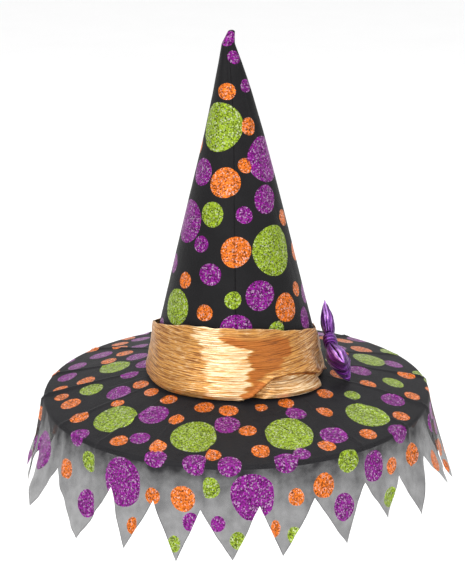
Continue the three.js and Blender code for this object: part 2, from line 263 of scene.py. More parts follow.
def mark_dots(piece, cloth, dots):
    """Writes how far each vertex is from the nearest dot's rim, and that dot's colour."""
    cloth = np.asarray(cloth, dtype=float).reshape(-1, 2)
    edge = np.full(len(cloth), 60.0)
    colour = np.zeros((len(cloth), 4))
    for index, (tone, x, y, radius) in enumerate(dots):
        dx, dy = cloth[:, 0] - x, cloth[:, 1] - y
        turn = np.arctan2(dy, dx)
        wobble = 1 + 0.035 * np.sin(2 * turn + index) + 0.02 * np.sin(3 * turn + 2.1 * index)
        distance = np.hypot(dx, dy) - radius * wobble
        nearer = distance < edge
        edge[nearer] = distance[nearer]
        colour[nearer] = (*DOT_COLOURS[tone], 1)
    mesh = piece.data
    mesh.attributes.new("dot_edge", "FLOAT", "POINT").data.foreach_set("value", edge.astype(np.float32))
    tint = mesh.attributes.new("dot_colour", "FLOAT_COLOR", "POINT")
    tint.data.foreach_set("color", colour.astype(np.float32).ravel())


def lay_uv(piece, cloth):
    """Gives the piece a UV map in metres of flat cloth."""
    cloth = np.asarray(cloth, dtype=float).reshape(-1, 2) * MM
    layer = piece.data.uv_layers.new(name="cloth")
    corners = np.empty(len(piece.data.loops), dtype=np.int32)
    piece.data.loops.foreach_get("vertex_index", corners)
    layer.data.foreach_set("uv", cloth[corners].astype(np.float32).ravel())


# ---------------------------------------------------------------------------
# Material helpers
# ---------------------------------------------------------------------------


class Shader:
    """A short way to add and link nodes of one material."""

    def __init__(self, name):
        self.material = bpy.data.materials.new(name)
        self.material.use_nodes = True
        self.tree = self.material.node_tree
        self.tree.nodes.clear()
        self.output = self.tree.nodes.new("ShaderNodeOutputMaterial")
        self.cloth = self.tree.nodes.new("ShaderNodeBsdfPrincipled")
        self.tree.links.new(self.cloth.outputs[0], self.output.inputs["Surface"])

    def node(self, kind, inputs=None, **settings):
        node = self.tree.nodes.new(kind)
        for key, value in settings.items():
            setattr(node, key, value)
        for key, value in (inputs or {}).items():
            self.feed(node.inputs[key], value)
        return node

    def feed(self, socket, value):
        if isinstance(value, bpy.types.NodeSocket):
            self.tree.links.new(value, socket)
        else:
            socket.default_value = value

    def maths(self, operation, first, second=0.0):
        return self.node("ShaderNodeMath", {0: first, 1: second}, operation=operation).outputs[0]

    def spread(self, value, low, high, new_low, new_high):
        inputs = {"Value": value, "From Min": low, "From Max": high, "To Min": new_low, "To Max": new_high}
        return self.node("ShaderNodeMapRange", inputs).outputs[0]

    def mix(self, share, first, second, blend="MIX"):
        node = self.tree.nodes.new("ShaderNodeMix")
        node.data_type = "RGBA"
        node.blend_type = blend
        self.feed(node.inputs["Factor"], share)
        self.feed(node.inputs[6], first)
        self.feed(node.inputs[7], second)
        return node.outputs[2]

    def places(self, uv=False):
        if uv:
            return self.node("ShaderNodeUVMap", uv_map="cloth").outputs[0]
        return self.node("ShaderNodeTexCoord").outputs["Object"]

    def stretched(self, vector, scale):
        return self.node("ShaderNodeMapping", {"Vector": vector, "Scale": scale}).outputs[0]

    def noise(self, vector, scale, detail=3.0, roughness=0.55):
        inputs = {"Vector": vector, "Scale": scale, "Detail": detail, "Roughness": roughness}
        return self.node("ShaderNodeTexNoise", inputs).outputs[0]

    def bump(self, height, strength, distance, before=None):
        inputs = {"Height": height, "Strength": strength, "Distance": distance}
        if before is not None:
            inputs["Normal"] = before
        return self.node("ShaderNodeBump", inputs).outputs[0]

    def weave(self, vector, threads_per_metre):
        """Crossed threads: a height from 0 to 1."""
        turns = math.pi * threads_per_metre
        split = self.node("ShaderNodeSeparateXYZ", {0: vector})
        across = self.maths("SINE", self.maths("MULTIPLY", split.outputs[0], turns))
        along = self.maths("SINE", self.maths("MULTIPLY", split.outputs[1], turns))
        product = self.maths("MULTIPLY", across, along)
        return self.spread(product, -1.0, 1.0, 0.0, 1.0)

    def set(self, **values):
        for key, value in values.items():
            self.feed(self.cloth.inputs[key.replace("_", " ")], value)


def glitter(shader, vector, colour):
    """Flakes about a millimetre across, each with its own brightness and tilt; some flakes get a painted
    glint of near-white.
    """
    flakes = shader.node("ShaderNodeTexVoronoi", {"Vector": vector, "Scale": 780.0})
    pick = shader.node("ShaderNodeSeparateColor", {0: flakes.outputs["Color"]})
    level = shader.spread(pick.outputs[0], 0.0, 1.0, 0.16, 1.30)
    bright = shader.mix(1.0, colour, shader.node(
        "ShaderNodeCombineColor", {0: level, 1: level, 2: level}).outputs[0], "MULTIPLY")
    # spark picks the flakes that get the painted glint.
    spark = shader.spread(pick.outputs[1], 0.76, 0.98, 0.0, 0.48)
    pale = shader.mix(0.45, colour, (1.0, 0.95, 0.98, 1.0))
    return shader.mix(spark, bright, pale), pick.outputs[2]


def dotted(shader, ground, vector):
    """Mixes the ground's colour with the glitter dots, and returns it, the mask and a flake height."""
    edge = shader.node("ShaderNodeAttribute", attribute_name="dot_edge").outputs["Fac"]
    tint = shader.node("ShaderNodeAttribute", attribute_name="dot_colour").outputs["Color"]
    ragged = shader.spread(shader.noise(vector, 900.0, 1.0), 0.0, 1.0, -0.5, 0.5)
    mask = shader.spread(shader.maths("ADD", edge, ragged), 0.18, -0.18, 0.0, 1.0)
    colour, flake = glitter(shader, vector, tint)
    return shader.mix(mask, ground, colour), mask, flake


# ---------------------------------------------------------------------------
# Materials
# ---------------------------------------------------------------------------


def black_dotted_cloth():
    shader = Shader("Black cloth with glitter dots")
    place = shader.places(uv=True)
    tone = shader.noise(place, 34.0, 4.0)
    ground = shader.mix(tone, (0.004, 0.0038, 0.0042, 1), (0.0105, 0.010, 0.011, 1))
    colour, mask, flake = dotted(shader, ground, place)
    threads = shader.weave(place, 1500.0)
    cloth = shader.bump(threads, 0.35, 0.0002)
    soft = shader.noise(shader.stretched(place, (1.6, 0.5, 1)), 40.0, 4.0)
    creases = shader.bump(soft, 0.35, 0.0016, cloth)
    shader.set(
        Base_Color=colour, Normal=shader.bump(flake, 0.45, 0.0004, creases),
        Roughness=shader.spread(mask, 0.0, 1.0, 0.52, 0.40),
        Metallic=shader.spread(mask, 0.0, 1.0, 0.0, 0.30),
        Sheen_Weight=0.0, Sheen_Roughness=0.4, Specular_IOR_Level=0.10,
    )
    return shader.material


def dotted_net():
    shader = Shader("Sheer black net with glitter dots")
    place = shader.places(uv=True)
    ground = (0.009, 0.0085, 0.010, 1)
    colour, mask, flake = dotted(shader, ground, place)
    threads = shader.weave(place, 2200.0)
    hem = shader.node("ShaderNodeAttribute", attribute_name="cut_edge").outputs["Fac"]
    cut = shader.spread(hem, 0.5, 1.4, 0.95, 0.0)
    # The cover attribute holds the net's density, raised just below the brim as painted shade.
    layers = shader.node("ShaderNodeAttribute", attribute_name="net_cover_and_shade").outputs["Fac"]
    cloudy = shader.spread(shader.noise(place, 60.0, 3.0), 0.3, 0.7, -0.05, 0.05)
    cover = shader.maths("ADD", layers, cloudy)
    cover = shader.maths("ADD", cover, shader.spread(threads, 0.0, 1.0, -0.04, 0.04))
    solid = shader.maths("MAXIMUM", shader.maths("MAXIMUM", cover, mask), cut)
    shader.set(
        Base_Color=colour, Normal=shader.bump(flake, 0.45, 0.0004), Alpha=solid,
        Roughness=shader.spread(mask, 0.0, 1.0, 0.60, 0.40),
        Metallic=shader.spread(mask, 0.0, 1.0, 0.0, 0.30),
        Specular_IOR_Level=0.15,
    )
    return shader.material


def plain_black_cloth(name, threads, light, roughness):
    shader = Shader(name)
    place = shader.places()
    tone = shader.noise(place, 55.0, 4.0)
    dark = (light * 0.55, light * 0.52, light * 0.58, 1)
    pale = (light * 1.3, light * 1.25, light * 1.35, 1)
    height = shader.weave(place, threads)
    shader.set(
        Base_Color=shader.mix(tone, dark, pale), Normal=shader.bump(height, 0.5, 0.0003),
        Roughness=shader.spread(tone, 0.3, 0.7, roughness - 0.08, roughness + 0.08),
        Sheen_Weight=0.06, Sheen_Roughness=0.45, Specular_IOR_Level=0.22,
    )
    return shader.material


def pressed_felt():
    shader = Shader("Pressed grey felt")
    place = shader.places()
    fibres = shader.noise(shader.stretched(place, (1, 1, 3)), 420.0, 6.0, 0.7)
    shader.set(
        Base_Color=shader.mix(fibres, (0.018, 0.017, 0.018, 1), (0.07, 0.068, 0.07, 1)),
        Normal=shader.bump(fibres, 0.6, 0.0005), Roughness=0.95, Sheen_Weight=0.3,
    )
    return shader.material


def drawn_metal(name, colour, roughness):
    shader = Shader(name)
    place = shader.places()
    streaks = shader.noise(shader.stretched(place, (1, 1, 8)), 300.0, 4.0)
    shader.set(
        Base_Color=shader.mix(streaks, tuple(0.75 * c for c in colour) + (1,), colour + (1,)),
        Normal=shader.bump(streaks, 0.2, 0.0001), Metallic=1.0,
        Roughness=shader.spread(streaks, 0.3, 0.7, roughness - 0.06, roughness + 0.1),
    )
    return shader.material


def crinkled_lame(name, dark, base, pale, shade, pitch, roughness):
    """Metallic cloth with fine crinkles along its length; the UV map's second axis runs across them.

    The dark streaks along the crinkles are painted shade and the glints are painted highlights. The tone
    attribute holds painted light, from 0, painted shade, to 1, painted highlight."""
    shader = Shader(name)
    place = shader.places(uv=True)
    split = shader.node("ShaderNodeSeparateXYZ", {0: place})
    wander = shader.noise(shader.stretched(place, (0.22, 1, 1)), 60.0, 3.0)
    phase = shader.maths("MULTIPLY", split.outputs[1], 2 * math.pi / pitch)
    phase = shader.maths("ADD", phase, shader.maths("MULTIPLY", wander, 5.0))
    ribs = shader.spread(shader.maths("SINE", phase), -1.0, 1.0, 0.0, 1.0)
    dashes = shader.noise(shader.stretched(place, (0.045, 1, 1)), 760.0, 3.0, 0.65)
    glints = shader.noise(shader.stretched(place, (0.13, 1, 1)), 900.0, 3.0, 0.65)
    tone = shader.node("ShaderNodeAttribute", attribute_name="painted_light_tone").outputs["Fac"]
    height = shader.maths("ADD", shader.maths("MULTIPLY", ribs, 0.45), dashes)
    # Dark streaks along the crinkles are painted shade; the pale colour and the glints are painted
    # highlights.
    cloth = shader.mix(shader.spread(dashes, 0.38, 0.54, 0.0, 1.0), dark, base)
    bright = shader.mix(shader.spread(dashes, 0.40, 0.56, 0.0, 1.0), base, pale)
    share = shader.maths("ADD", tone, shader.spread(glints, 0.3, 0.7, -0.22, 0.22))
    share = shader.spread(share, 0.45, 0.80, 0.0, 1.0)
    colour = shader.mix(share, cloth, bright)
    # Low tone values turn the cloth to the painted shade colour, and the lowest to the dark crinkle colour.
    shade = shader.mix(shader.spread(dashes, 0.34, 0.50, 0.0, 1.0), dark, shade)
    colour = shader.mix(shader.spread(tone, 0.36, 0.20, 0.0, 1.0), colour, shade)
    colour = shader.mix(shader.spread(tone, 0.12, 0.0, 0.0, 0.8), colour, dark)
    shader.set(
        Base_Color=colour, Normal=shader.bump(height, 0.55, 0.0011),
        Metallic=0.60, Roughness=shader.spread(glints, 0.3, 0.7, roughness + 0.10, roughness - 0.06),
        Sheen_Weight=0.1, Sheen_Roughness=0.3,
    )
    return shader.material


def paint_light_tone(piece, tone):
    """Writes the painted light of each part of the crinkled cloth: its painted highlight and painted shade.
    """
    values = np.asarray(tone, dtype=np.float32).ravel()
    piece.data.attributes.new("painted_light_tone", "FLOAT", "POINT").data.foreach_set("value", values)


def studio_white():
    shader = Shader("White studio floor")
    grain = shader.noise(shader.places(), 6.0, 2.0)
    shader.set(Base_Color=shader.mix(grain, (0.90, 0.90, 0.90, 1), (0.93, 0.93, 0.93, 1)), Roughness=0.9)
    return shader.material


# ---------------------------------------------------------------------------
# Stitches
# ---------------------------------------------------------------------------


def stitch_tree():
    """Geometry Nodes that lay short thread stitches along a curve."""
    tree = bpy.data.node_groups.new("Running stitches", "GeometryNodeTree")
    face = tree.interface
    face.new_socket("Geometry", in_out="INPUT", socket_type="NodeSocketGeometry")
    for label, default in (("Pitch", 0.0036), ("Stitch Length", 0.0026), ("Thread Radius", 0.00022)):
        socket = face.new_socket(label, in_out="INPUT", socket_type="NodeSocketFloat")
        socket.default_value = default
    face.new_socket("Thread", in_out="INPUT", socket_type="NodeSocketMaterial")
    face.new_socket("Geometry", in_out="OUTPUT", socket_type="NodeSocketGeometry")
    nodes, link = tree.nodes, tree.links.new
    start = nodes.new("NodeGroupInput")
    end = nodes.new("NodeGroupOutput")
    spaced = nodes.new("GeometryNodeCurveToPoints")
    spaced.mode = "LENGTH"
    thread = nodes.new("GeometryNodeMeshUVSphere")
    thread.inputs["Segments"].default_value = 6
    thread.inputs["Rings"].default_value = 4
    thread.inputs["Radius"].default_value = 1.0
    size = nodes.new("ShaderNodeCombineXYZ")
    half = nodes.new("ShaderNodeMath")
    half.operation = "MULTIPLY"
    half.inputs[1].default_value = 0.5
    copies = nodes.new("GeometryNodeInstanceOnPoints")
    made_real = nodes.new("GeometryNodeRealizeInstances")
    smooth_shade = nodes.new("GeometryNodeSetShadeSmooth")
    finish = nodes.new("GeometryNodeSetMaterial")
    link(start.outputs["Geometry"], spaced.inputs["Curve"])
    link(start.outputs["Pitch"], spaced.inputs["Length"])
    link(start.outputs["Stitch Length"], half.inputs[0])
    link(start.outputs["Thread Radius"], size.inputs[0])
    link(start.outputs["Thread Radius"], size.inputs[1])
    link(half.outputs[0], size.inputs[2])
    link(spaced.outputs["Points"], copies.inputs["Points"])
    link(thread.outputs["Mesh"], copies.inputs["Instance"])
    link(spaced.outputs["Rotation"], copies.inputs["Rotation"])
    link(size.outputs[0], copies.inputs["Scale"])
    link(copies.outputs[0], made_real.inputs[0])
    link(made_real.outputs[0], smooth_shade.inputs[0])
    link(smooth_shade.outputs[0], finish.inputs["Geometry"])
    link(start.outputs["Thread"], finish.inputs["Material"])
    link(finish.outputs[0], end.inputs[0])
    return tree


def stitches(name, lines, thread, pitch, length, radius):
    """Stitches along each line of points in millimetres, as one plain mesh."""
    curve = bpy.data.curves.new(name + "_line", "CURVE")
    curve.dimensions = "3D"
    for points, closed in lines:
        spline = curve.splines.new("POLY")
        spline.points.add(len(points) - 1)
        flat = [value for point in points for value in (*(float(v) * MM for v in point), 1.0)]
        spline.points.foreach_set("co", flat)
        spline.use_cyclic_u = closed
    guide = bpy.data.objects.new(name + "_line", curve)
    bpy.context.scene.collection.objects.link(guide)
    tree = bpy.data.node_groups.get("Running stitches") or stitch_tree()
    layer = guide.modifiers.new("Stitches", "NODES")
    layer.node_group = tree
    values = {
        "Pitch": pitch * MM, "Stitch Length": length * MM, "Thread Radius": radius * MM, "Thread": thread,
    }
    for socket in tree.interface.items_tree:
        if socket.item_type == "SOCKET" and socket.in_out == "INPUT" and socket.name in values:
            layer[socket.identifier] = values[socket.name]
    depsgraph = bpy.context.evaluated_depsgraph_get()
    mesh = bpy.data.meshes.new_from_object(guide.evaluated_get(depsgraph), depsgraph=depsgraph)
    bpy.data.objects.remove(guide)
    piece = bpy.data.objects.new(name, mesh)
    bpy.context.scene.collection.objects.link(piece)
    return piece


# ---------------------------------------------------------------------------
# Settings
# ---------------------------------------------------------------------------


class HatSettings(bpy.types.PropertyGroup):
    """Sizes and colours of the hat that a user may change."""

    cone_rows: bpy.props.IntProperty(
        name="Cone Rows", description="Rows of faces up the cone", default=190, min=40, max=260)
    net_columns: bpy.props.IntProperty(
        name="Net Columns", description="Columns of faces round the net", default=720, min=240, max=900)
    crease_depth: bpy.props.FloatProperty(
        name="Crease Depth", description="How deep the cone's soft creases are",
        default=0.0016, min=0, max=0.004, subtype="DISTANCE", unit="LENGTH")
    net_ripple: bpy.props.FloatProperty(
        name="Net Ripple", description="How far the loose net lifts and waves on the brim",
        default=0.0022, min=0, max=0.005, subtype="DISTANCE", unit="LENGTH")
    binding_stitch: bpy.props.FloatProperty(
        name="Binding Stitch", description="Pitch of the stitches along the binding",
        default=0.0042, min=0.002, max=0.008, subtype="DISTANCE", unit="LENGTH")
    # Sash Shade is painted shade: the colour the sash's crinkles and fold line are darkened to.
    sash_dark: bpy.props.FloatVectorProperty(
        name="Sash Shade", description="The sash's colour in its crinkles",
        default=(0.17, 0.050, 0.008), size=3, min=0, max=1, subtype="COLOR")
    sash_base: bpy.props.FloatVectorProperty(
        name="Sash Colour", description="The sash's main colour",
        default=(0.52, 0.245, 0.055), size=3, min=0, max=1, subtype="COLOR")
    bow_base: bpy.props.FloatVectorProperty(
        name="Bow Colour", description="The bow's main colour",
        default=(0.155, 0.016, 0.27), size=3, min=0, max=1, subtype="COLOR")


# ---------------------------------------------------------------------------
# The cone
# ---------------------------------------------------------------------------


def cone_surface(heights, angles, foot, crease):
    """Points of a creased cone layer, one row for each height."""
    z, turn = np.meshgrid(heights, angles, indexing="ij")
    radius = cone_radius(foot, z)
    top_fade = smooth(30, 220, z)
    soft = 0.5 + 0.5 * wave(3 * turn + 0.006 * z, 11)
    ridges = np.abs(wave(2 * turn + 0.004 * z + 0.4, 13, 2)) ** 0.7
    fade = smooth(CONE_TOP, CONE_TOP - 60, z)
    push = crease * (0.35 + 0.65 * top_fade) * (0.25 + 0.75 * fade) * (0.9 * ridges + 0.5 * soft).clip(0, 2)
    radius = radius + push * smooth(2, 42, z)
    seam = np.exp(-((np.abs(turn - np.pi) * radius / 1.4) ** 2))
    radius = radius - 0.25 * seam * np.minimum(1, radius / 10)
    x = radius * np.sin(turn) + cone_lean(z)
    y = -radius * np.cos(turn)
    return np.stack([x, y, z], axis=-1)


class HAT_OT_cone(bpy.types.Operator):
    """Makes the dotted cloth cone with its creases, back seam and bent tip"""

    bl_idname = "hat.cone"
    bl_label = "Cloth Cone"

    def execute(self, context):
        settings = context.scene.hat_settings
        columns = 224
        angles = np.linspace(0, 2 * np.pi, columns + 1)
        shoulder = CONE_TOP - 3
        heights = np.concatenate([[-SEAM_DEPTH], np.linspace(0, shoulder, settings.cone_rows)])
        points = cone_surface(heights, angles, CONE_FOOT, settings.crease_depth / MM)
        tip_rows = []
        for share, height in ((0.96, 1.9), (0.8, 1.0), (0.5, 0.3), (0.15, 0.02)):
            z = CONE_TOP - height
            ring = points[-1].copy()
            centre = np.array([cone_lean(shoulder), 0, 0])
            ring[:, :2] = (ring[:, :2] - centre[:2]) * share + [cone_lean(z), 0]
            ring[:, 2] = z
            tip_rows.append(ring)
        points = np.concatenate([points, np.array(tip_rows)])
        slope = math.atan(TAPER)
        apex = CONE_FOOT / TAPER
        turn = np.broadcast_to(angles, points.shape[:2])
        slant = (apex - points[..., 2]) / math.cos(slope)
        fan = (turn - 2 * np.pi * (turn > np.pi)) * math.sin(slope)
        cloth = np.stack([slant * np.sin(fan), slant * np.cos(fan)], axis=-1)
        rows = len(points)
        faces = grid_faces(rows, columns + 1)
        piece = mesh_piece("cone_cloth", points, faces, black_dotted_cloth())
        point_up(piece, lambda c: Vector((c.x, c.y, 0)))
        mark_dots(piece, cloth, self.dots(slope, apex))
        lay_uv(piece, cloth)
        thicken(piece, 0.8)
        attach(piece, "root")
        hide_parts("cone_cover")
        self.seam_stitches()
        return {"FINISHED"}

    @staticmethod
    def dots(slope, apex):
        def flat(degrees, z):
            fan = math.radians(degrees) * math.sin(slope)
            slant = (apex - z) / math.cos(slope)
            return slant * math.sin(fan), slant * math.cos(fan)

        chosen = [(tone, *flat(angle, z), radius) for tone, angle, z, radius in CONE_DOTS]
        picker = np.random.default_rng(5)
        places = []
        for _ in range(2600):
            angle = picker.uniform(-180, 180)
            z = CONE_TOP * (1 - math.sqrt(picker.random()))
            if abs(angle) > 78:
                places.append(flat(angle, z))
        return scattered_dots(chosen, places, 5.5, 6)

    @staticmethod
    def seam_stitches():
        thread = plain_black_cloth("Black sewing thread", 4000.0, 0.03, 0.5)
        heights = np.linspace(40, CONE_TOP - 18, 90)
        lines = []
        for side in (-2.6, 2.6):
            radius = cone_radius(CONE_FOOT, heights) - 0.2
            angles = np.pi + side / radius
            line = np.stack([
                radius * np.sin(angles) + cone_lean(heights), -radius * np.cos(angles), heights], axis=-1)
            lines.append((line, False))
        piece = stitches("cone_seam_stitches", lines, thread, 3.6, 2.5, 0.28)
        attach(piece, "root")


# ---------------------------------------------------------------------------
# The brim, its binding and the linings
# ---------------------------------------------------------------------------


class HAT_OT_brim(bpy.types.Operator):
    """Makes the brim's cloth covers, the stitched edge binding, and finishes the stiffeners and wire"""

    bl_idname = "hat.brim"
    bl_label = "Brim"

    def execute(self, context):
        settings = context.scene.hat_settings
        cloth = plain_black_cloth("Black woven cloth", 1400.0, 0.014, 0.72)
        lining = plain_black_cloth("Black lining cloth", 1700.0, 0.018, 0.6)
        tape = plain_black_cloth("Black satin tape", 2300.0, 0.012, 0.42)
        edge = BRIM_HIGH[0]
        layers = (
            ("brim_top_cloth", "brim_cover", 0.0, 0.8, cloth, "black_cloth"),
            ("brim_under_cloth", "brim_lining", BRIM_STACK - 0.6, 0.6, lining, "lining_cloth"),
        )
        for name, node, depth, thickness, material, slot in layers:
            steps = np.linspace(BRIM_INNER, edge, 40)
            top = [(r, brim_top(r) - depth) for r in steps]
            bottom = [(r, brim_top(r) - depth - thickness) for r in steps[::-1]]
            piece = turned_piece(name, top + bottom, material, 240)
            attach(piece, "root")
            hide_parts(node)
        self.binding(tape)
        self.binding_stitches(settings.binding_stitch / MM)
        felt = pressed_felt()
        for node in ("brim_stiffener", "cone_stiffener"):
            self.finish_node(node, felt)
        self.finish_node("brim_wire", drawn_metal("Drawn steel wire", (0.55, 0.56, 0.58), 0.32))
        self.finish_node("wire_ferrule", drawn_metal("Crimped brass tube", (0.72, 0.52, 0.22), 0.3))
        return {"FINISHED"}

    @staticmethod
    def finish_node(node, material):
        piece = bpy.data.objects[node]
        piece.data.materials.clear()
        piece.data.materials.append(material)

    @staticmethod
    def binding(tape):
        """The tape rolled over the edge, with a soft full edge and slightly uneven legs."""
        width = 9.0
        outer, inner = 0.9, 0.3
        low = -BRIM_STACK - inner
        half = (outer - low + 0.6) / 2
        middle = (outer + low - 0.6) / 2
        profile = []
        for r in np.linspace(BRIM_EDGE - width, BRIM_EDGE - half, 5):
            profile.append((r, brim_top(r) + outer))
        for angle in np.linspace(80, -80, 11):
            swing = math.radians(angle)
            r = BRIM_EDGE - half + half * math.cos(swing)
            profile.append((r, brim_top(r) + middle + half * math.sin(swing)))
        for r in np.linspace(BRIM_EDGE - half, BRIM_EDGE - width, 5):
            profile.append((r, brim_top(r) + low - 0.6))
        for r in np.linspace(BRIM_EDGE - width, BRIM_EDGE - half, 4):
            profile.append((r, brim_top(r) + low))
        for angle in np.linspace(-80, 80, 7):
            swing = math.radians(angle)
            r = BRIM_EDGE - half + (half - 0.6) * math.cos(swing)
            profile.append((r, brim_top(r) + middle + (half - 0.6) * math.sin(swing)))
        for r in np.linspace(BRIM_EDGE - half, BRIM_EDGE - width, 4):
            profile.append((r, brim_top(r) + inner))
        piece = turned_piece("rolled_edge_binding", profile, tape, 360)
        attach(piece, "root")
        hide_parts("edge_binding")

    @staticmethod
    def binding_stitches(pitch):
        thread = plain_black_cloth("Binding thread", 4000.0, 0.035, 0.5)
        angles = np.linspace(0, 2 * np.pi, 360, endpoint=False)
        radius = BRIM_EDGE - 7.4
        lines = []
        for height in (0.9, -BRIM_STACK - 0.9):
            line = ring_points([(radius, brim_top(radius) + height)], angles)[0]
            lines.append((line, True))
        piece = stitches("binding_stitches", lines, thread, pitch, pitch * 0.7, 0.26)
        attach(piece, "root")


class HAT_OT_inside(bpy.types.Operator):
    """Makes the cone's lining and the ribbed sweatband with its stitches"""

    bl_idname = "hat.inside"
    bl_label = "Lining and Sweatband"

    def execute(self, context):
        lining = plain_black_cloth("Cone lining cloth", 1700.0, 0.02, 0.6)
        ribbon = plain_black_cloth("Ribbed sweatband ribbon", 900.0, 0.012, 0.5)
        outer_foot = (LINING_HIGH[1] - LINING_LOW[1]) / 2
        top = LINING_HIGH[2]
        outer = [(outer_foot, -SEAM_DEPTH)]
        outer += [(cone_radius(outer_foot, z), z) for z in np.linspace(0, top - 2, 46)]
        outer += [(0.35 * outer[-1][0], top - 0.5), (0.02, top)]
        inner = [(0.02, top - 2)]
        inner += [(cone_radius(outer_foot - 0.6, z), z) for z in np.linspace(top - 4, 0, 46)]
        inner += [(outer_foot - 0.6, -SEAM_DEPTH)]
        piece = turned_piece("cone_lining_cloth", outer + inner, lining, 144, shape=self.leaned)
        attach(piece, "root")
        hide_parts("cone_lining")
        self.sweatband(ribbon)
        return {"FINISHED"}

    @staticmethod
    def leaned(points, angles):
        points[..., 0] += cone_lean(points[..., 2])
        return points

    @staticmethod
    def sweatband(ribbon):
        outer_foot = (SWEAT_HIGH[1] - SWEAT_LOW[1]) / 2
        inner_foot = outer_foot - 0.8
        top, bottom = SWEAT_HIGH[2], SWEAT_LOW[2]
        heights = np.linspace(bottom, top, 60)
        ribs = 0.12 * np.sin(np.arange(60) * np.pi / 2)
        inner = [(cone_radius(inner_foot, z) + 0.12 + rib, z) for z, rib in zip(heights, ribs)]
        outer = [(cone_radius(outer_foot, z), z) for z in heights[::-1]]
        piece = turned_piece("sweatband_ribbon", inner + outer, ribbon, 200)
        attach(piece, "root")
        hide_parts("sweatband")
        thread = plain_black_cloth("Sweatband thread", 4000.0, 0.06, 0.5)
        angles = np.linspace(0, 2 * np.pi, 240, endpoint=False)
        z = bottom + 2.4
        line = ring_points([(inner_foot - 0.05, z)], angles)[0]
        stitching = stitches("sweatband_stitches", [(line, True)], thread, 4.6, 3.1, 0.28)
        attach(stitching, "root")


# ---------------------------------------------------------------------------
# The net
# ---------------------------------------------------------------------------


def hem_points():
    """Angle, drop and sideways pull of every valley and tip, once round from the first valley."""
    rows = []
    for valley, tip, valley_drop, tip_drop, pull in FRONT_HEM:
        rows.append((valley, valley_drop, 0.0))
        rows.append((tip, tip_drop, pull))
    rest = 360 - (FRONT_HEM_END - FRONT_HEM[0][0])
    count = round(rest / math.degrees(EVEN_POINT_WIDTH / BRIM_EDGE))
    picker = np.random.default_rng(21)
    for index in range(count):
        valley = FRONT_HEM_END + rest * index / count
        rows.append((valley, 41 + picker.uniform(-4, 4), 0.0))
        tip = valley + rest / count * picker.uniform(0.42, 0.6)
        rows.append((tip, 99 + picker.uniform(-7, 5), picker.uniform(-8, 8)))
    return rows


